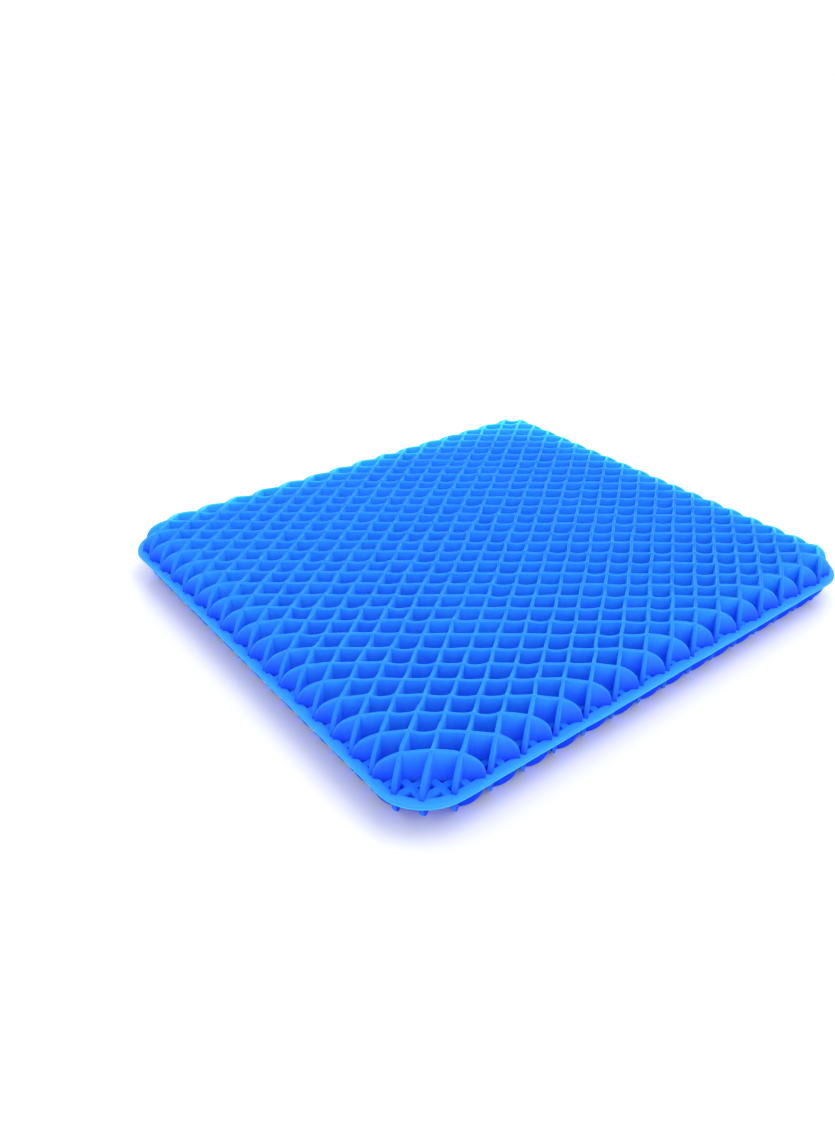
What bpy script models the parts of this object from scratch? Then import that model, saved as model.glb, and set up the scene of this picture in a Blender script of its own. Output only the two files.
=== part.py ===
"""Elastomer grid seat cushion, built around the mid-plane of one moulding.

Four regions of the moulding are modelled as separate solids: the upper grid, the
centre web, the rim flange round the web, and the lower grid that mirrors the upper one.
Units are metres. +Z is up, -Y is the front edge, and the origin is at the centre of
the face that the cushion rests on.
"""
import math

import bmesh
import bpy

# Driving dimensions
WIDTH = 0.420            # left to right, along X
DEPTH = 0.366            # front to back, along Y
THICKNESS = 0.040        # between the faces of the two grids
CORNER_RADIUS = 0.032    # outer corner of the rim flange

RIM_WIDTH = 0.005        # flat band outside the feet of the grid walls
RIM_THICKNESS = 0.0030
RIM_EDGE_RADIUS = 0.0011
WEB_THICKNESS = 0.0022
SIDE_END_RUN = 0.01125   # reach of the rounded wall ends, from rim to full height
FRONT_END_RUN = 0.0079   # the same at the front and back edges, which the walls meet
                         # at a lower angle
GAP = 0.0003             # clearance between neighbouring solids

CORNER_STEPS = 8         # straight pieces in each quarter-round corner
END_STEPS = 7            # straight pieces in the rounded wall ends
BEAD_STEPS = 3           # straight pieces in the rounded edge of the rim

MID_HEIGHT = THICKNESS / 2
GRID_COLOUR = (0.035, 0.31, 1.0, 1.0)
LOWER_GRID_COLOUR = (0.010, 0.10, 1.0, 1.0)
WEB_COLOUR = (0.028, 0.26, 1.0, 1.0)
RIM_COLOUR = (0.032, 0.30, 1.0, 1.0)


def clear_scene():
    for thing in list(bpy.data.objects):
        bpy.data.objects.remove(thing, do_unlink=True)


def elastomer(name, colour):
    """A satin thermoplastic elastomer."""
    material = bpy.data.materials.new(name)
    material.use_nodes = True
    shader = material.node_tree.nodes["Principled BSDF"]
    shader.inputs["Base Color"].default_value = colour
    shader.inputs["Roughness"].default_value = 0.38
    shader.inputs["Metallic"].default_value = 0.0
    return material


def rounded_rectangle(inset_x, inset_y, z):
    """Points of the rim's outline moved inwards, counter-clockwise at height z."""
    radius_x = CORNER_RADIUS - inset_x
    radius_y = CORNER_RADIUS - inset_y
    centre_x = WIDTH / 2 - CORNER_RADIUS
    centre_y = DEPTH / 2 - CORNER_RADIUS
    points = []
    for quarter, (side_x, side_y) in enumerate(((1, 1), (-1, 1), (-1, -1), (1, -1))):
        for step in range(CORNER_STEPS + 1):
            angle = math.radians(90) * (quarter + step / CORNER_STEPS)
            points.append((side_x * centre_x + radius_x * math.cos(angle),
                           side_y * centre_y + radius_y * math.sin(angle), z))
    return points


def add_rings(bm, profile):
    """One ring of vertices for each (inset_x, inset_y, z), joined by quads."""
    rings = [[bm.verts.new(point) for point in rounded_rectangle(*level)]
             for level in profile]
    for lower, upper in zip(rings, rings[1:]):
        join_rings(bm, lower, upper)
    return rings


def join_rings(bm, lower, upper):
    count = len(lower)
    for index in range(count):
        after = (index + 1) % count
        bm.faces.new((lower[index], lower[after], upper[after], upper[index]))


def finish_object(bm, name, colour):
    bmesh.ops.recalc_face_normals(bm, faces=bm.faces)
    mesh = bpy.data.meshes.new(name)
    bm.to_mesh(mesh)
    bm.free()
    mesh.materials.append(elastomer(name + "_gel", colour))
    mesh.shade_smooth()
    mesh.set_sharp_from_angle(angle=math.radians(35))
    piece = bpy.data.objects.new(name, mesh)
    bpy.context.scene.collection.objects.link(piece)
    return piece


def closed_slab(name, profile, colour):
    """A solid with flat faces at both ends of the profile."""
    bm = bmesh.new()
    rings = add_rings(bm, profile)
    bm.faces.new(rings[0][::-1])
    bm.faces.new(rings[-1])
    return finish_object(bm, name, colour)


def ring_band(name, profile, colour):
    """A solid whose closed profile runs all the way round the cushion."""
    bm = bmesh.new()
    rings = add_rings(bm, profile)
    join_rings(bm, rings[-1], rings[0])
    return finish_object(bm, name, colour)


def wall_end_profile(height):
    """Quarter ellipse of the wall ends: from the foot at the rim up to full height."""
    profile = []
    for step in range(END_STEPS + 1):
        angle = math.radians(90) * step / END_STEPS
        share = 1 - math.cos(angle)
        profile.append((RIM_WIDTH + SIDE_END_RUN * share,
                        RIM_WIDTH + FRONT_END_RUN * share,
                        height * math.sin(angle)))
    return profile


def build_grid(name, base_height, face_height, colour):
    """One grid, from its foot beside the web to the flat face of its wall tops."""
    direction = 1 if face_height > base_height else -1
    height = abs(face_height - base_height)
    profile = [(inset_x, inset_y, base_height + direction * rise)
               for inset_x, inset_y, rise in wall_end_profile(height)]
    return closed_slab(name, profile[::direction], colour)


def build_web():
    half = WEB_THICKNESS / 2
    inset = RIM_WIDTH + GAP
    profile = [(inset, inset, MID_HEIGHT - half), (inset, inset, MID_HEIGHT + half)]
    return closed_slab("centre_web", profile, WEB_COLOUR)


def build_rim():
    """Flat band with both edges of its outer side rounded."""
    half = RIM_THICKNESS / 2
    radius = RIM_EDGE_RADIUS
    profile = [(RIM_WIDTH, RIM_WIDTH, MID_HEIGHT + half),
               (RIM_WIDTH, RIM_WIDTH, MID_HEIGHT - half)]
    for first_angle, height in ((-90, radius - half), (0, half - radius)):
        for step in range(BEAD_STEPS + 1):
            angle = math.radians(first_angle + 90 * step / BEAD_STEPS)
            inset = radius * (1 - math.cos(angle))
            level = MID_HEIGHT + height + radius * math.sin(angle)
            profile.append((inset, inset, level))
    return ring_band("rim_flange", profile, RIM_COLOUR)


def build_cushion():
    clear_scene()
    step_off = RIM_THICKNESS / 2 + GAP
    build_grid("upper_grid", MID_HEIGHT + step_off, THICKNESS, GRID_COLOUR)
    build_web()
    build_rim()
    build_grid("lower_grid", MID_HEIGHT - step_off, 0.0, LOWER_GRID_COLOUR)


build_cushion()
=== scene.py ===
"""Looks of the elastomer grid seat cushion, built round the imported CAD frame.

Four pieces stand for the four plain CAD solids: the upper grid of thin crossing walls,
its mirror image below, the perforated web at mid height, and the rim flange. Units are
metres, in the row frame: +Z up, -Y the front edge.
"""
import math

import bmesh
import bpy
import numpy as np
from mathutils import Matrix, Vector
from mathutils.geometry import delaunay_2d_cdt


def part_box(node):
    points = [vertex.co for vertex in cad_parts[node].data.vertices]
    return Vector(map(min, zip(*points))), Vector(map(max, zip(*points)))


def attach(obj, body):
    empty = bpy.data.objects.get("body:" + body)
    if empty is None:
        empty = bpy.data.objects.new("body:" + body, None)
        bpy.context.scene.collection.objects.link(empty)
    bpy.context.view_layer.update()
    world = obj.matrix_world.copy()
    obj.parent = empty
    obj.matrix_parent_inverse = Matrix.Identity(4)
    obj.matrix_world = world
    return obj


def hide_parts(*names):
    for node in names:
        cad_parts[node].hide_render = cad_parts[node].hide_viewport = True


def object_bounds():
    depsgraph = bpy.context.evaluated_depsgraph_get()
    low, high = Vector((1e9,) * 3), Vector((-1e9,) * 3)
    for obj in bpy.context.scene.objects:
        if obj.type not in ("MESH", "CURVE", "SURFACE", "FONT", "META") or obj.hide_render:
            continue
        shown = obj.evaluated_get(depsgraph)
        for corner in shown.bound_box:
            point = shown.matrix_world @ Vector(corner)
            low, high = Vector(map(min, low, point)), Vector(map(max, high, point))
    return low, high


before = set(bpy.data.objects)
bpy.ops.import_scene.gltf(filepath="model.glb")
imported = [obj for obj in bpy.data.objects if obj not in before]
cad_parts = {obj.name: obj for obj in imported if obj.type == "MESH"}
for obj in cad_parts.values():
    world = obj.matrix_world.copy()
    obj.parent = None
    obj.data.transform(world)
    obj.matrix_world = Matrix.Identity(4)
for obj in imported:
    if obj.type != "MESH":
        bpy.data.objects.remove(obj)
cad_low, cad_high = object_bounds()

MM = 0.001

# Grid pattern: half cells across the flat face of the CAD grid
COLUMNS = 31
ROWS = 36
LEFT_CORNERS = ((0, 0), (0, ROWS))     # these crossings fall on the rounded corners

# Walls
WALL_TOP_HALF = 0.92 * MM              # half a wall's thickness at its top
WALL_BASE_HALF = 1.72 * MM             # and at the web
# Levels down a wall's rounded top edge: drop below the crest in mm, share of the wall's
# half thickness, and how much of the painted light on the wall tops the level takes
EDGE_LEVELS = ((0.0, 0.52, 1.0), (0.10, 0.80, 0.55), (0.34, 0.96, 0.1), (0.90, 1.0, 0.0))
LEAN = 0.38 * MM                       # how far the wall tops stray at the crossings
NO_LEAN = Vector((0.0, 0.0))
SAG_CHOICES = (0.2, 0.6, 1.1, 1.8)     # mm the top of a wall hangs between its crossings
OUTER_SAG_SHARE = 0.5                  # walls that fall to an outermost crossing sag less
SWAY_SPREAD = 0.24                     # mm the top bows to one side
TWIST_SPREAD = 0.14                    # mm it strays both ways, as a flat S
WALL_SPANS = 6
END_SPANS = 11
END_NUDGE = 0.1                        # spans to either side when the end's slope is taken
# The walls' top edge falls to the rim along a quarter of a superellipse (power 2 is an
# ellipse, more is boxier); "start" is the share of its run before the outermost crossing.
UPPER_ENDS = {"power": 2.25, "start": 0.53}
LOWER_ENDS = {"power": 2.0, "start": 0.0}
UPPER_SEED = 11
LOWER_SEED = 12
UPPER_SOFTNESS = 1.0                   # share of the full lean, sag, sway and twist
LOWER_SOFTNESS = 0.5
END_OVERLAP = 1.0 * MM                 # how far the wall ends run on into the rim
CORNER_RADIUS = 32 * MM                # outer corner of the rim, as in the CAD

# Web and rim
STRIP_HALF = 1.90 * MM                 # half the width of the web's strips
WEB_EDGE = 0.30 * MM
WEB_EDGE_IN = 1.4                      # a hole's eased edge stands in by this many WEB_EDGEs
# Share of the painted light on the holes' eased edges
WEB_EDGE_PAINTED_LIGHT = 0.6
WEB_TUCK = 0.6 * MM                    # how far the web runs on into the rim
HOLE_CLEARANCE = 0.7 * MM              # least web between a hole and the rim
HOLE_LEAST_AREA = 4.0 * MM * MM        # smaller leftovers at the rim are not cut
MERGE_DISTANCE = 1e-7
RIM_EDGE = 1.1 * MM                    # rounding of the rim's outer edges
RIM_EDGE_ANGLES = (90, 60, 30)
RIM_OVERLAP = 1.2 * MM                 # how far the rim runs on inwards over the web
RIM_INNER_EASE = (0.2 * MM, 0.3 * MM)  # easing of its inner edge: outwards and down
RIM_FACE_STEPS = (0.72, 0.45)          # shares of the rim's width
# Shares of the painted highlight on the rim's flat face and rounded edges
RIM_FACE_HIGHLIGHT = 0.1
RIM_EDGE_HIGHLIGHT = 0.15
RIM_UNEVEN = 0.35 * MM                 # how far the rim strays up, down and sideways
RIM_RISE_WAVES = ((31 * MM, 47 * MM, 83 * MM), 0.4)      # wave lengths and phase
RIM_OUT_WAVES = ((37 * MM, 59 * MM), 1.9)
WAVE_TURN = 2.4                        # radians between the headings of two waves
WAVE_SHIFT = 1.7
PARTING_LINE = 0.25 * MM               # how far the mould's parting line stands out
PARTING_HALF = 0.42 * MM               # its half height where it leaves the rim
PARTING_TIP = 0.22 * MM                # its half height at the crest

# Gel
GEL_ROUGHNESS = (0.40, 0.56)
GEL_SPECULAR = 0.06
GEL_SUBSURFACE = 0.6
GEL_SUBSURFACE_RADIUS = (0.35, 1.4, 1.8)
GEL_SUBSURFACE_SCALE = 2.0 * MM
# Noise scale and detail
CLOUDS = (9.0, 1.0)
PATCHES = (40.0, 3.0)
STREAKS = (230.0, 2.0)
GRAIN = (420.0, 4.0)
STREAK_FLATTEN = 0.12                  # the streaks run up the walls
CLOUD_TONE = 0.70
PATCH_TONE = 0.40
STREAK_TONE = 0.70
TONE_OFFSET = 0.90                     # taken off, so that the tones lie on the colour ramp
DEEP_STOP = 0.15
MIDDLE_STOP = 0.62
FACE_STOP = 0.98
STREAK_RELIEF = 2.0
BUMP_STRENGTH = 0.22
BUMP_DISTANCE = 0.25 * MM
# Painted light: with the distance from the front left corner (x plus y) the faces are painted
# lighter and the wall tops take their far tone
FAR_LIGHT_REACH = (120 * MM, 420 * MM)
FAR_LIGHT_TONE = 0.30
# Painted shade: deep between the walls along the left and front edges the gel is painted dark
PAINTED_SHADE_REACH = 17 * MM
PAINTED_SHADE_SHARE = 1.0
# Painted backlight: along the back and right edges the gel is painted cyan, as if lit through
# from behind
PAINTED_BACKLIGHT_REACH = 36 * MM
PAINTED_BACKLIGHT_SHARE = 0.9
EDGE_BAND = 3 * MM                     # the painted shade and painted backlight keep their full share over this band

# Gel colours, linear red, green and blue
# Painted light on the wall tops, near the front left corner and far from it, and a painted
# highlight on the rim
WALL_TOP_PAINTED_LIGHT = (0.021, 0.228, 1.0)
FAR_TOP_PAINTED_LIGHT = (0.014, 0.160, 1.0)
RIM_PAINTED_HIGHLIGHT = (0.055, 0.45, 1.0)
# Tones from the web up the faces: darker towards the web, painted shade between the walls
UPPER_TONES = ((0.042, 0.26, 1.0), (0.040, 0.31, 1.0), (0.040, 0.37, 1.0))
# Painted backlight, cyan along the back and right edges
UPPER_PAINTED_BACKLIGHT = (0.07, 0.76, 1.0)
# Painted shade along the left and front edges
UPPER_PAINTED_SHADE = (0.010, 0.06, 1.0)
# The lower grid's tones are darker all over, painted shade under the rim
LOWER_SHADED_TONES = ((0.009, 0.055, 1.0), (0.010, 0.065, 1.0), (0.011, 0.08, 1.0))
LOWER_PAINTED_BACKLIGHT = (0.045, 0.45, 1.0)
LOWER_PAINTED_SHADE = (0.010, 0.05, 1.0)
WEB_TONES = ((0.026, 0.25, 1.0), (0.030, 0.27, 1.0), (0.030, 0.27, 1.0))
RIM_TONES = ((0.028, 0.27, 1.0), (0.032, 0.30, 1.0), (0.036, 0.33, 1.0))


# ---------------------------------------------------------------- frame measures

def flat_face_box(node):
    """Lowest and highest x and y of the node's topmost flat face."""
    points = np.array([v.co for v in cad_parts[node].data.vertices])
    face = points[points[:, 2] > points[:, 2].max() - 0.01 * MM]
    return face.min(axis=0), face.max(axis=0)


face_low, face_high = flat_face_box("upper_grid")
rim_low, rim_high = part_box("rim_flange")
foot_low, foot_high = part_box("upper_grid")
web_low, web_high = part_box("centre_web")

WIDTH = cad_high.x - cad_low.x
DEPTH = cad_high.y - cad_low.y
MID_HEIGHT = (cad_low.z + cad_high.z) / 2
GRID_HEIGHT = cad_high.z - MID_HEIGHT
RIM_WIDTH = foot_low.x - cad_low.x
RIM_HALF = (rim_high.z - rim_low.z) / 2
WEB_HALF = (web_high.z - web_low.z) / 2
HALF_CELL_X = (face_high[0] - face_low[0]) / COLUMNS
HALF_CELL_Y = (face_high[1] - face_low[1]) / ROWS
PITCH = math.hypot(HALF_CELL_X, HALF_CELL_Y)
WALL_COS = HALF_CELL_X / PITCH
WALL_SIN = HALF_CELL_Y / PITCH
REACH_HALVINGS = 40


def column_x(column):
    return (column - COLUMNS / 2) * HALF_CELL_X


def row_y(row):
    return (row - ROWS / 2) * HALF_CELL_Y


def inside_outline(x, y, inset):
    """True if (x, y) lies inside the rim's outline moved inwards by inset."""
    over_x = abs(x) - (WIDTH / 2 - CORNER_RADIUS)
    over_y = abs(y) - (DEPTH / 2 - CORNER_RADIUS)
    if over_x > 0 and over_y > 0:
        return math.hypot(over_x, over_y) < CORNER_RADIUS - inset
    return max(over_x, over_y) < CORNER_RADIUS - inset


def reach_to_rim(start, direction):
    """Length of the line from start to the rim's inner edge, by halving."""
    near = 0.0
    far = 4 * PITCH
    for _ in range(REACH_HALVINGS):
        middle = (near + far) / 2
        point = start + direction * middle
        if inside_outline(point.x, point.y, RIM_WIDTH):
            near = middle
        else:
            far = middle
    return near


# ---------------------------------------------------------------- mesh collecting

SMOOTH_ANGLE = 40                      # degrees; sharper edges stay sharp
# The attribute holds each vertex's share of the painted light on tops and edges
PAINTED_LIGHT_LAYER = "edge"


class MeshParts:
    """Vertices, faces and one share of painted light per vertex, gathered before a mesh is
    made.
    """

    def __init__(self):
        self.points = []
        self.faces = []
        self.painted_lights = []

    def add(self, x, y, z, painted_light=0.0):
        self.points.append((x, y, z))
        self.painted_lights.append(painted_light)
        return len(self.points) - 1

    def make(self, name, material):
        mesh = bpy.data.meshes.new(name)
        mesh.from_pydata(self.points, [], self.faces)
        layer = mesh.attributes.new(PAINTED_LIGHT_LAYER, "FLOAT", "POINT")
        layer.data.foreach_set("value", self.painted_lights)
        bm = bmesh.new()
        bm.from_mesh(mesh)
        bmesh.ops.recalc_face_normals(bm, faces=bm.faces)
        bm.to_mesh(mesh)
        bm.free()
        mesh.shade_smooth()
        mesh.set_sharp_from_angle(angle=math.radians(SMOOTH_ANGLE))
        mesh.materials.append(material)
        piece = bpy.data.objects.new(name, mesh)
        bpy.context.scene.collection.objects.link(piece)
        return piece


# ---------------------------------------------------------------- grid walls

EAST, NORTH, WEST, SOUTH = range(4)
CORNER_STEP = {EAST: (1, 0), NORTH: (0, 1), WEST: (-1, 0), SOUTH: (0, -1)}
# direction (columns, rows) -> corner on its left and on its right, at the wall's start
START_CORNERS = {(1, 1): (NORTH, EAST), (1, -1): (EAST, SOUTH),
                 (-1, -1): (SOUTH, WEST), (-1, 1): (WEST, NORTH)}


def half_thickness(height):
    """Half a wall's thickness, which tapers from the web to the wall's top."""
    share = 1 - max(0.0, min(1.0, height / GRID_HEIGHT))
    return WALL_TOP_HALF + (WALL_BASE_HALF - WALL_TOP_HALF) * share


def wall_end_length(place, step):
    """From the last crossing to just inside the rim, along the wall."""
    start = Vector((column_x(place[0]), row_y(place[1])))
    along = Vector((step[0] * HALF_CELL_X, step[1] * HALF_CELL_Y)).normalized()
    return reach_to_rim(start, along) + END_OVERLAP


class Grid:
    """One layer of crossing walls, standing on the mid plane at height 0."""

    def __init__(self, seed, softness, ends):
        self.parts = MeshParts()
        self.ends = ends
        self.random = np.random.default_rng(seed)
        self.softness = softness
        self.places = [(column, row) for column in range(COLUMNS + 1)
                       for row in range(ROWS + 1)
                       if (column + row) % 2 == 0 and (column, row) not in LEFT_CORNERS]
        self.crests = {place: self.crest(place) for place in self.places}
        self.leans = {place: Vector(self.random.normal(0.0, LEAN * softness, 2))
                      for place in self.places}
        self.crossings = {place: self.crossing(place) for place in self.places}
        for place in self.places:
            for step in START_CORNERS:
                other = (place[0] + step[0], place[1] + step[1])
                if other not in self.crossings:
                    self.wall_end(place, step)
                elif step[0] > 0:
                    self.wall(place, other, step)

    def crest(self, place):
        """Height of the walls at a crossing: the outermost ones lie a little lower."""
        outermost = place[0] in (0, COLUMNS) or place[1] in (0, ROWS)
        share = self.fall_height(self.ends["start"]) if outermost else 1.0
        return RIM_HALF + (GRID_HEIGHT - RIM_HALF) * share

    def fall_height(self, run):
        """Height of the falling top edge, from 1 at run 0 down to 0 at run 1."""
        power = self.ends["power"]
        return max(0.0, 1 - run ** power) ** (1 / power)

    def crossing(self, place):
        """Four columns of vertices, one in each angle between the walls."""
        x = column_x(place[0])
        y = row_y(place[1])
        corners = {}
        for corner, (step_x, step_y) in CORNER_STEP.items():
            stack = []
            for drop, share, painted_light in EDGE_LEVELS:
                height = self.crests[place] - drop * MM
                half = share * half_thickness(height)
                lean = self.leans[place] * (height / GRID_HEIGHT) ** 2
                stack.append(self.parts.add(x + lean.x + step_x * half / WALL_SIN,
                                            y + lean.y + step_y * half / WALL_COS,
                                            height, painted_light))
            stack.append(self.parts.add(x + step_x * WALL_BASE_HALF / WALL_SIN,
                                        y + step_y * WALL_BASE_HALF / WALL_COS, 0.0))
            corners[corner] = stack
        self.parts.faces.append([corners[c][0] for c in range(4)])
        self.parts.faces.append([corners[c][-1] for c in range(3, -1, -1)])
        return corners

    def join(self, before, after):
        """Skins one span: before and after are (left stack, right stack)."""
        for side in (0, 1):
            here = before[side]
            there = after[side]
            for level in range(min(len(here), len(there)) - 1):
                quad = [here[level], here[level + 1], there[level + 1], there[level]]
                self.parts.faces.append(quad if side else quad[::-1])
        self.parts.faces.append([before[0][0], before[1][0], after[1][0], after[0][0]])

    def floor(self, before, after):
        """Closes one span on the mid plane."""
        self.parts.faces.append([before[0][-1], after[0][-1], after[1][-1], before[1][-1]])

    def wall(self, place, other, step):
        """A wall between two crossings, whose top sags and sways a little."""
        start = Vector((column_x(place[0]), row_y(place[1])))
        end = Vector((column_x(other[0]), row_y(other[1])))
        along = (end - start).normalized()
        left_way = Vector((-along.y, along.x))
        sag = self.softness * MM * float(self.random.choice(SAG_CHOICES))
        sway = self.softness * MM * float(self.random.normal(0.0, SWAY_SPREAD))
        twist = self.softness * MM * float(self.random.normal(0.0, TWIST_SPREAD))
        near = self.crests[place]
        far = self.crests[other]
        if near != far:
            sag *= OUTER_SAG_SHARE
        back = START_CORNERS[-step[0], -step[1]]
        left, right = START_CORNERS[step]
        before = (self.crossings[place][left], self.crossings[place][right])
        last = (self.crossings[other][back[1]], self.crossings[other][back[0]])
        for span in range(1, WALL_SPANS):
            share = span / WALL_SPANS
            arch = 4 * share * (1 - share)
            crest = near
            if near > far:
                crest = self.fall_crest(share)
            elif far > near:
                crest = self.fall_crest(1 - share)
            middle = start.lerp(end, share)
            aside = (self.leans[place].lerp(self.leans[other], share)
                     + left_way * (sway * arch + twist * math.sin(2 * math.pi * share)))
            after = self.section(middle, left_way, crest - sag * arch, aside)
            self.join(before, after)
            self.floor(before, after)
            before = after
        self.join(before, last)
        self.floor(before, last)

    def fall_crest(self, share):
        """Height of a wall that falls towards the outermost crossing, at share 1."""
        run = self.ends["start"] * share
        return RIM_HALF + (GRID_HEIGHT - RIM_HALF) * self.fall_height(run)

    def section(self, middle, left_way, top, aside):
        """Vertices across a wall at one spot: its left and right stacks, from the top down."""
        stacks = ([], [])
        for drop, share, painted_light in EDGE_LEVELS:
            height = top - drop * MM
            self.pair(stacks, middle, left_way, height, share * half_thickness(height),
                      aside * (height / GRID_HEIGHT) ** 2, painted_light)
        self.pair(stacks, middle, left_way, 0.0, WALL_BASE_HALF, NO_LEAN, 0.0)
        return stacks

    def pair(self, stacks, middle, left_way, height, half, aside, painted_light):
        """Adds one level to both stacks."""
        for stack, side in zip(stacks, (1, -1)):
            point = middle + aside + left_way * (side * half)
            stack.append(self.parts.add(point.x, point.y, height, painted_light))

    def wall_end(self, place, step):
        """The rounded end of a wall, whose top edge falls to the rim."""
        start = Vector((column_x(place[0]), row_y(place[1])))
        along = Vector((step[0] * HALF_CELL_X, step[1] * HALF_CELL_Y)).normalized()
        left_way = Vector((-along.y, along.x))
        length = wall_end_length(place, step)
        rise = self.crests[place] - RIM_HALF
        left, right = START_CORNERS[step]
        before = (self.crossings[place][left], self.crossings[place][right])
        for span in range(1, END_SPANS + 1):
            spot = self.end_curve(span / END_SPANS)
            before_it = self.end_curve((span - END_NUDGE) / END_SPANS)
            after_it = self.end_curve(min(1.0, (span + END_NUDGE) / END_SPANS))
            run = (after_it - before_it) * Vector((length, rise))
            slope = Vector((run.y, -run.x)).normalized()
            edge = Vector((length * spot.x, RIM_HALF + rise * spot.y))
            aside = self.leans[place] * (1 - spot.x)
            after = self.end_section(start, along, left_way, edge, slope, aside)
            self.join(before, after)
            self.floor(before, after)
            before = after
        last = self.tip_section(start, along, left_way, length)
        for side in (0, 1):
            last[side].append(before[side][-1])
        self.join((before[0][:-1], before[1][:-1]), last)
        self.parts.faces.append(last[0][::-1] + last[1])

    def end_curve(self, share):
        """Point on the wall end's falling edge, from (0, 1) to (1, 0)."""
        power = self.ends["power"]
        start = self.ends["start"]
        first = math.asin(start ** (power / 2))
        angle = first + (math.radians(90) - first) * share
        run = math.sin(angle) ** (2 / power)
        return Vector(((run - start) / (1 - start),
                       self.fall_height(run) / self.fall_height(start)))

    def end_section(self, start, along, left_way, edge, slope, aside):
        """Like section, with the levels set square to the falling edge."""
        stacks = ([], [])
        for drop, share, painted_light in EDGE_LEVELS:
            spot = edge + slope * drop * MM
            self.pair(stacks, start + along * spot.x, left_way, spot.y,
                      share * half_thickness(spot.y),
                      aside * (spot.y / GRID_HEIGHT) ** 2, painted_light)
        self.pair(stacks, start + along * spot.x, left_way, 0.0,
                  WALL_BASE_HALF, NO_LEAN, 0.0)
        return stacks

    def tip_section(self, start, along, left_way, length):
        """The levels of the wall's tip, side by side on the mid plane."""
        stacks = ([], [])
        for drop, share, painted_light in EDGE_LEVELS[:-1]:
            self.pair(stacks, start + along * (length - drop * MM), left_way, 0.0,
                      share * half_thickness(0.0), NO_LEAN, painted_light)
        return stacks

    def make(self, name, side, material):
        """The mesh above the mid plane, or its mirror image below it for side -1."""
        self.parts.points = [(x, y, MID_HEIGHT + side * z) for x, y, z in self.parts.points]
        return self.parts.make(name, material)


# ---------------------------------------------------------------- web

def clipped(polygon, inset):
    """The part of a convex polygon inside the rim's outline moved inwards by inset."""
    outline = rim_outline(inset, steps=6, edge_steps=1)
    for a, b in zip(outline, outline[1:] + outline[:1]):
        inward = Vector((a.y - b.y, b.x - a.x))
        kept = []
        for p, q in zip(polygon, polygon[1:] + polygon[:1]):
            depth_p = (p - a).dot(inward)
            depth_q = (q - a).dot(inward)
            if depth_p >= 0:
                kept.append(p)
            if depth_p * depth_q < 0:
                kept.append(p.lerp(q, depth_p / (depth_p - depth_q)))
        polygon = kept
        if len(polygon) < 3:
            return []
    return polygon


def polygon_area(polygon):
    return sum(p.cross(q) for p, q in zip(polygon, polygon[1:] + polygon[:1])) / 2


def web_holes():
    """A rectangular hole between each pair of neighbouring strips, cut off at the rim."""
    holes = []
    for column in range(-1, COLUMNS + 1):
        for row in range(-1, ROWS + 1):
            low_x = column_x(column) + STRIP_HALF
            high_x = column_x(column + 1) - STRIP_HALF
            low_y = row_y(row) + STRIP_HALF
            high_y = row_y(row + 1) - STRIP_HALF
            hole = clipped([Vector((low_x, low_y)), Vector((high_x, low_y)),
                            Vector((high_x, high_y)), Vector((low_x, high_y))],
                           RIM_WIDTH + HOLE_CLEARANCE)
            if hole and polygon_area(hole) > HOLE_LEAST_AREA:
                holes.append(hole)
    return holes


def build_web(material):
    """A sheet with a hole in every cell of the strips, and eased hole edges."""
    parts = MeshParts()
    outline = rim_outline(RIM_WIDTH - WEB_TUCK, steps=8, edge_steps=12)
    loops = [outline] + web_holes()
    points = [p for loop in loops for p in loop]
    rings = []
    first = 0
    for loop in loops:
        rings.append(list(range(first, first + len(loop))))
        first += len(loop)
    # Output type 1 gives the triangles inside the loops
    flat, _, faces, origins, _, face_origins = delaunay_2d_cdt(points, [], rings, 1,
                                                               MERGE_DISTANCE)
    place = {old: new for new, olds in enumerate(origins) for old in olds}
    heights = (MID_HEIGHT + WEB_HALF, MID_HEIGHT - WEB_HALF)
    sheets = [[parts.add(p.x, p.y, z) for p in flat] for z in heights]
    for face, owners in zip(faces, face_origins):
        if owners == [0]:
            parts.faces.append([sheets[0][k] for k in face])
            parts.faces.append([sheets[1][k] for k in face[::-1]])
    for index, (loop, ring) in enumerate(zip(loops, rings)):
        levels = [[sheets[0][place[k]] for k in ring], [sheets[1][place[k]] for k in ring]]
        if index > 0:
            middle = sum(loop, Vector((0, 0))) / len(loop)
            stand_in = WEB_EDGE * WEB_EDGE_IN
            eased = [middle + (p - middle) * (1 - stand_in / (p - middle).length)
                     for p in loop]
            # The eased hole edges take part of the painted light
            levels[1:1] = [[parts.add(p.x, p.y, z, WEB_EDGE_PAINTED_LIGHT) for p in eased]
                           for z in (heights[0] - WEB_EDGE, heights[1] + WEB_EDGE)]
        for upper, lower in zip(levels, levels[1:]):
            for k in range(len(ring)):
                after = (k + 1) % len(ring)
                parts.faces.append([upper[k], lower[k], lower[after], upper[after]])
    return parts.make("centre_web_sheet", material)


# ---------------------------------------------------------------- rim

def rim_outline(inset, steps=14, edge_steps=60):
    """Points round the rim's outline moved inwards, evenly spaced on the straights."""
    radius = CORNER_RADIUS - inset
    centre_x = WIDTH / 2 - CORNER_RADIUS
    centre_y = DEPTH / 2 - CORNER_RADIUS
    arcs = []
    for quarter, (side_x, side_y) in enumerate(((1, 1), (-1, 1), (-1, -1), (1, -1))):
        arcs.append([Vector((side_x * centre_x, side_y * centre_y))
                     + radius * Vector((math.cos(a), math.sin(a)))
                     for a in (math.radians(90) * (quarter + k / steps)
                               for k in range(steps + 1))])
    points = []
    for arc, following in zip(arcs, arcs[1:] + arcs[:1]):
        points += arc
        points += [arc[-1].lerp(following[0], k / edge_steps)
                   for k in range(1, edge_steps)]
    return points


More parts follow.
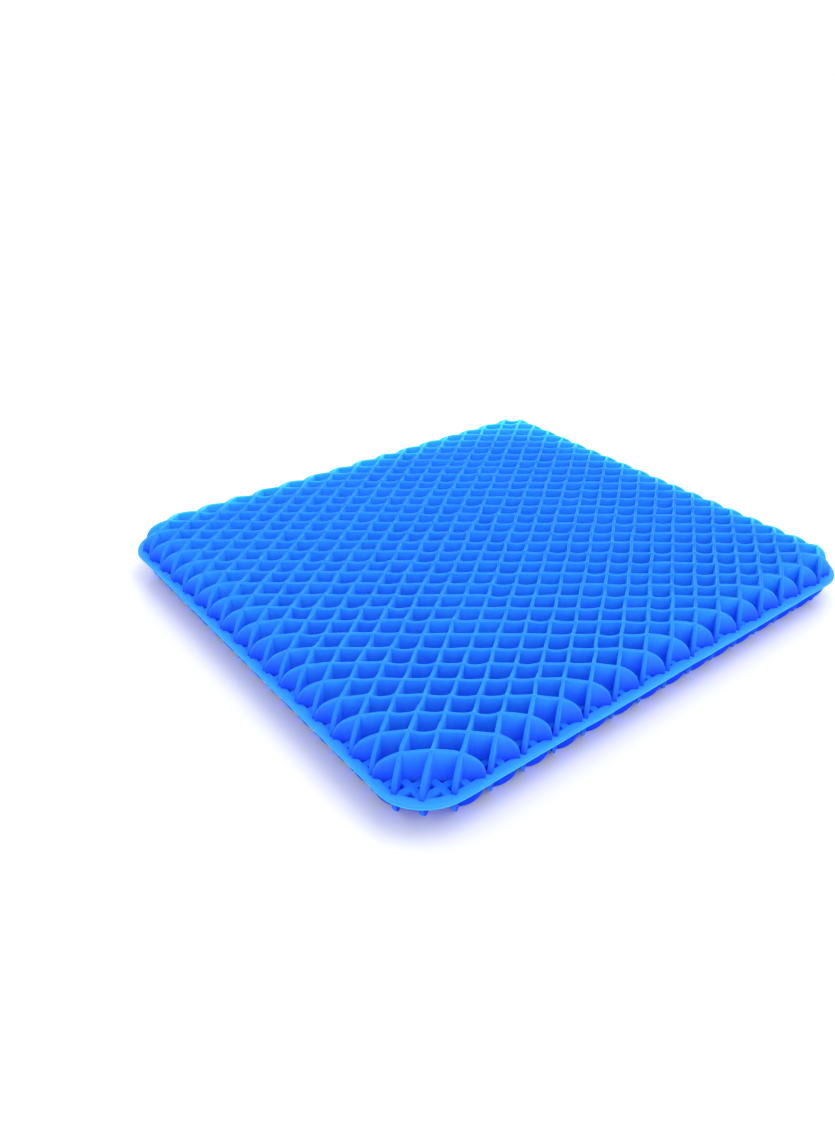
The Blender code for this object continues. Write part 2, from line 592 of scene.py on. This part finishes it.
def waviness(x, y, lengths, phase):
    """A slow sum of sines over the plan, between about -1 and 1."""
    total = 0.0
    for turn, length in enumerate(lengths):
        angle = phase + WAVE_TURN * turn
        total += math.sin(2 * math.pi * (x * math.cos(angle) + y * math.sin(angle)) / length
                          + WAVE_SHIFT * angle)
    return total / len(lengths)


def build_rim(material):
    """Flat band with rounded edges and the mould's parting line round its outer side."""
    parts = MeshParts()
    ease_out, ease_down = RIM_INNER_EASE
    # Half of the section, from the inner edge outwards: inset, height and share of the painted
    # highlight
    profile = [(RIM_WIDTH + RIM_OVERLAP, RIM_HALF - ease_down, 0.0),
               (RIM_WIDTH - ease_out, RIM_HALF, RIM_FACE_HIGHLIGHT)]
    profile += [(RIM_WIDTH * step, RIM_HALF, RIM_FACE_HIGHLIGHT) for step in RIM_FACE_STEPS]
    for angle in RIM_EDGE_ANGLES:
        turn = math.radians(angle)
        profile.append((RIM_EDGE * (1 - math.cos(turn)),
                        RIM_HALF - RIM_EDGE * (1 - math.sin(turn)), RIM_EDGE_HIGHLIGHT))
    # The parting line's crest takes the full painted highlight
    profile += [(0.0, PARTING_HALF, RIM_FACE_HIGHLIGHT), (-PARTING_LINE, PARTING_TIP, 1.0)]
    profile += [(inset, -height, painted_light) for inset, height, painted_light in profile[::-1]]
    rings = []
    for inset, height, painted_light in profile:
        ring = []
        for p in rim_outline(inset):
            rise = RIM_UNEVEN * waviness(p.x, p.y, *RIM_RISE_WAVES)
            out = 1 + RIM_UNEVEN / DEPTH * waviness(p.x, p.y, *RIM_OUT_WAVES)
            ring.append(parts.add(p.x * out, p.y * out, MID_HEIGHT + height + rise, painted_light))
        rings.append(ring)
    count = len(rings[0])
    for upper, lower in zip(rings, rings[1:] + rings[:1]):
        for k in range(count):
            after = (k + 1) % count
            parts.faces.append([upper[k], lower[k], lower[after], upper[after]])
    return parts.make("rim_flange_band", material)


# ---------------------------------------------------------------- materials

def link_noise(tree, scale_detail, flatten=1.0):
    """Noise over the object's own coordinates; flatten below 1 draws it out upwards."""
    coordinates = tree.nodes.new("ShaderNodeTexCoord")
    mapping = tree.nodes.new("ShaderNodeMapping")
    mapping.inputs["Scale"].default_value = (1.0, 1.0, flatten)
    noise = tree.nodes.new("ShaderNodeTexNoise")
    noise.inputs["Scale"].default_value = scale_detail[0]
    noise.inputs["Detail"].default_value = scale_detail[1]
    tree.links.new(coordinates.outputs["Object"], mapping.inputs["Vector"])
    tree.links.new(mapping.outputs["Vector"], noise.inputs["Vector"])
    return noise.outputs["Fac"]


def link_math(tree, operation, *values):
    """A math node fed by sockets and plain numbers; gives its output socket."""
    node = tree.nodes.new("ShaderNodeMath")
    node.operation = operation
    for socket, value in zip(node.inputs, values):
        if isinstance(value, bpy.types.NodeSocket):
            tree.links.new(value, socket)
        else:
            socket.default_value = value
    return node.outputs[0]


def link_mix(tree, factor, colour, other):
    """Mixes a colour socket with a plain colour."""
    mix = tree.nodes.new("ShaderNodeMix")
    mix.data_type = "RGBA"
    colours = [socket for socket in mix.inputs if socket.type == "RGBA"]
    tree.links.new(factor, mix.inputs["Factor"])
    tree.links.new(colour, colours[0])
    colours[1].default_value = (*other, 1)
    return [socket for socket in mix.outputs if socket.type == "RGBA"][0]


def link_range(tree, value, start_end, results, interpolation="SMOOTHSTEP"):
    """Goes from one result to the other while the value runs from start to end."""
    step = tree.nodes.new("ShaderNodeMapRange")
    step.interpolation_type = interpolation
    for socket, limit in zip(("From Min", "From Max", "To Min", "To Max"),
                             (*start_end, *results)):
        step.inputs[socket].default_value = limit
    tree.links.new(value, step.inputs["Value"])
    return step.outputs["Result"]


def link_nearest(tree, first, second, reach, most):
    """Falls from most at either of two edges to 0 at reach; takes their distances."""
    product = link_math(tree, "MULTIPLY", first, second)
    total = link_math(tree, "ADD", first, second)
    nearest = link_math(tree, "DIVIDE", product, total)
    return link_range(tree, nearest, (reach, EDGE_BAND), (0.0, most))


def link_ramp(tree, value, deep, middle, face):
    """The colour ramp from the web up the wall faces: darker towards the web, painted shade
    between the walls.
    """
    ramp = tree.nodes.new("ShaderNodeValToRGB")
    stops = ramp.color_ramp.elements
    stops[0].position = DEEP_STOP
    stops[0].color = (*deep, 1)
    stops[1].position = FACE_STOP
    stops[1].color = (*face, 1)
    between = stops.new(MIDDLE_STOP)
    between.color = (*middle, 1)
    tree.links.new(value, ramp.inputs["Fac"])
    return ramp.outputs["Color"]


def gel_material(name, tones, edge, far_top_light, painted_backlight=None, painted_shade=None):
    """Satin elastomer. The tones run from the web up the faces, darker towards the web as
    painted shade;
    edge and the next colour are painted light on the wall tops near and far from the front
    left corner; the last two colours paint a cyan backlight along the back and right edges and
    shade along the left and front edges."""
    material = bpy.data.materials.new(name)
    material.use_nodes = True
    tree = material.node_tree
    shader = tree.nodes["Principled BSDF"]
    shader.inputs["Specular IOR Level"].default_value = GEL_SPECULAR
    shader.inputs["Subsurface Weight"].default_value = GEL_SUBSURFACE
    shader.inputs["Subsurface Radius"].default_value = GEL_SUBSURFACE_RADIUS
    shader.inputs["Subsurface Scale"].default_value = GEL_SUBSURFACE_SCALE

    place = tree.nodes.new("ShaderNodeTexCoord")
    split = tree.nodes.new("ShaderNodeSeparateXYZ")
    tree.links.new(place.outputs["Object"], split.inputs["Vector"])
    left = link_math(tree, "SUBTRACT", split.outputs["X"], cad_low.x)
    front = link_math(tree, "SUBTRACT", split.outputs["Y"], cad_low.y)
    above = link_math(tree, "SUBTRACT", split.outputs["Z"], MID_HEIGHT)
    away = link_math(tree, "ABSOLUTE", above)
    share = link_math(tree, "DIVIDE", away, GRID_HEIGHT)
    # Painted light: faces lighter farther from the front left corner
    far_light = link_range(tree, link_math(tree, "ADD", left, front), FAR_LIGHT_REACH, (0.0, 1.0))

    streaks = link_noise(tree, STREAKS, STREAK_FLATTEN)
    # The height sets the tone, darker towards the web as painted shade; the noises add random
    # tone
    tone = link_math(tree, "MULTIPLY_ADD", link_noise(tree, CLOUDS), CLOUD_TONE, share)
    tone = link_math(tree, "MULTIPLY_ADD", link_noise(tree, PATCHES), PATCH_TONE, tone)
    tone = link_math(tree, "MULTIPLY_ADD", streaks, STREAK_TONE, tone)
    tone = link_math(tree, "MULTIPLY_ADD", far_light, FAR_LIGHT_TONE, tone)
    colour = link_ramp(tree, link_math(tree, "SUBTRACT", tone, TONE_OFFSET), *tones)

    attribute = tree.nodes.new("ShaderNodeAttribute")
    attribute.attribute_name = PAINTED_LIGHT_LAYER
    painted_light_share = attribute.outputs["Fac"]
    # Painted shade deep between the walls along the left and front edges; there the painted
    # light on the tops also fades lower down
    if painted_shade:
        shaded = link_nearest(tree, left, front, PAINTED_SHADE_REACH, PAINTED_SHADE_SHARE)
        below = link_math(tree, "SUBTRACT", 1.0, share)
        colour = link_mix(tree, link_math(tree, "MULTIPLY", shaded, below), colour, painted_shade)
        painted_light_share = link_math(tree, "MULTIPLY", painted_light_share, share)
    # Painted light on the wall tops: the far tone, then the near tone towards the front left
    # corner
    near_light = link_math(tree, "SUBTRACT", 1.0, far_light)
    colour = link_mix(tree, painted_light_share, colour, far_top_light)
    colour = link_mix(tree, link_math(tree, "MULTIPLY", painted_light_share, near_light), colour, edge)
    # Painted backlight: cyan along the back and right edges, strongest high up the walls
    if painted_backlight:
        right = link_math(tree, "SUBTRACT", cad_high.x, split.outputs["X"])
        behind = link_math(tree, "SUBTRACT", cad_high.y, split.outputs["Y"])
        lit = link_nearest(tree, right, behind, PAINTED_BACKLIGHT_REACH, PAINTED_BACKLIGHT_SHARE)
        colour = link_mix(tree, link_math(tree, "MULTIPLY", lit, share), colour, painted_backlight)
    tree.links.new(colour, shader.inputs["Base Color"])

    grain = link_noise(tree, GRAIN)
    roughness = link_range(tree, grain, (0.0, 1.0), GEL_ROUGHNESS, "LINEAR")
    tree.links.new(roughness, shader.inputs["Roughness"])
    bump = tree.nodes.new("ShaderNodeBump")
    bump.inputs["Strength"].default_value = BUMP_STRENGTH
    bump.inputs["Distance"].default_value = BUMP_DISTANCE
    relief = link_math(tree, "MULTIPLY_ADD", streaks, STREAK_RELIEF, grain)
    tree.links.new(relief, bump.inputs["Height"])
    tree.links.new(bump.outputs["Normal"], shader.inputs["Normal"])
    return material


# ---------------------------------------------------------------- stage

# Metres and degrees; the lens is in millimetres
CAMERA_AIM = Vector((-0.0455, 0.0229, 0.020))
CAMERA_DISTANCE = 0.6606
CAMERA_AZIMUTH = -38.74
CAMERA_ELEVATION = 30.25
CAMERA_ROLL = 1.17
CAMERA_LENS = 27.9
CAMERA_CLIP = 0.01

FLOOR_REACH = 40.0
FLOOR_GREY = (0.86, 0.86, 0.86, 1)
FLOOR_ROUGHNESS = 0.7
FLOOR_SPECULAR = 0.2
FLOOR_DROP = 0.1 * MM                  # keeps the floor clear of the cushion's feet
WORLD_STRENGTH = 1.16
# Name, azimuth, elevation, distance, size, power, and whether it shows in reflections
LIGHTS = (("overhead", 40, 72, 1.6, 1.2, 7, True),
          ("back_glow", 165, 10, 0.75, 0.24, 2.5, False),
          ("right_glow", 105, 10, 0.75, 0.24, 1.3, False))


def from_angles(azimuth, elevation):
    """Unit vector towards a viewer: azimuth 0 stands at -Y, elevation is above the floor."""
    turn = math.radians(azimuth)
    rise = math.radians(elevation)
    return Vector((math.sin(turn) * math.cos(rise), -math.cos(turn) * math.cos(rise),
                   math.sin(rise)))


def add_camera():
    camera = bpy.data.objects.new("camera", bpy.data.cameras.new("camera"))
    bpy.context.scene.collection.objects.link(camera)
    back = from_angles(CAMERA_AZIMUTH, CAMERA_ELEVATION)
    turn = (-back).to_track_quat("-Z", "Y").to_matrix().to_4x4()
    roll = Matrix.Rotation(math.radians(CAMERA_ROLL), 4, "Z")
    camera.matrix_world = (Matrix.Translation(CAMERA_AIM + back * CAMERA_DISTANCE)
                           @ turn @ roll)
    camera.data.lens = CAMERA_LENS
    camera.data.clip_start = CAMERA_CLIP
    bpy.context.scene.camera = camera


def add_light(name, azimuth, elevation, distance, size, power, glossy):
    light = bpy.data.lights.new(name, "AREA")
    light.shape = "DISK"
    light.size = size
    light.energy = power
    lamp = bpy.data.objects.new(name, light)
    bpy.context.scene.collection.objects.link(lamp)
    back = from_angles(azimuth, elevation)
    lamp.location = Vector((0, 0, MID_HEIGHT)) + back * distance
    lamp.rotation_mode = "QUATERNION"
    lamp.rotation_quaternion = (-back).to_track_quat("-Z", "Y")
    lamp.visible_camera = False
    lamp.visible_glossy = glossy


def add_stage():
    mesh = bpy.data.meshes.new("floor")
    corners = [(FLOOR_REACH * side_x, FLOOR_REACH * side_y, 0)
               for side_x, side_y in ((-1, -1), (1, -1), (1, 1), (-1, 1))]
    mesh.from_pydata(corners, [], [(0, 1, 2, 3)])
    material = bpy.data.materials.new("pale_floor")
    material.use_nodes = True
    shader = material.node_tree.nodes["Principled BSDF"]
    shader.inputs["Base Color"].default_value = FLOOR_GREY
    shader.inputs["Roughness"].default_value = FLOOR_ROUGHNESS
    shader.inputs["Specular IOR Level"].default_value = FLOOR_SPECULAR
    mesh.materials.append(material)
    floor = bpy.data.objects.new("floor", mesh)
    floor.location.z = -FLOOR_DROP
    bpy.context.scene.collection.objects.link(floor)

    world = bpy.data.worlds.new("studio")
    world.use_nodes = True
    background = world.node_tree.nodes["Background"]
    background.inputs["Color"].default_value = (1, 1, 1, 1)
    background.inputs["Strength"].default_value = WORLD_STRENGTH
    bpy.context.scene.world = world

    for light in LIGHTS:
        add_light(*light)
    bpy.context.scene.view_settings.view_transform = "Standard"


# ---------------------------------------------------------------- put together

def declare(piece, node):
    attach(piece, "root")
    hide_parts(node)


def main():
    grid_gel = gel_material("grid_gel", UPPER_TONES, WALL_TOP_PAINTED_LIGHT, FAR_TOP_PAINTED_LIGHT, UPPER_PAINTED_BACKLIGHT,
                            UPPER_PAINTED_SHADE)
    # The lower grid is painted darker, as shade under the rim
    under_gel_painted_shade = gel_material("under_gel_painted_shade", LOWER_SHADED_TONES, WALL_TOP_PAINTED_LIGHT, FAR_TOP_PAINTED_LIGHT, LOWER_PAINTED_BACKLIGHT,
                             LOWER_PAINTED_SHADE)
    web_gel = gel_material("web_gel", WEB_TONES, WALL_TOP_PAINTED_LIGHT, FAR_TOP_PAINTED_LIGHT)
    rim_gel = gel_material("rim_gel", RIM_TONES, RIM_PAINTED_HIGHLIGHT, RIM_PAINTED_HIGHLIGHT)
    upper = Grid(UPPER_SEED, UPPER_SOFTNESS, UPPER_ENDS)
    lower = Grid(LOWER_SEED, LOWER_SOFTNESS, LOWER_ENDS)
    declare(upper.make("upper_grid_walls", 1, grid_gel), "upper_grid")
    declare(lower.make("lower_grid_walls", -1, under_gel_painted_shade), "lower_grid")
    declare(build_web(web_gel), "centre_web")
    declare(build_rim(rim_gel), "rim_flange")
    add_stage()
    add_camera()


main()
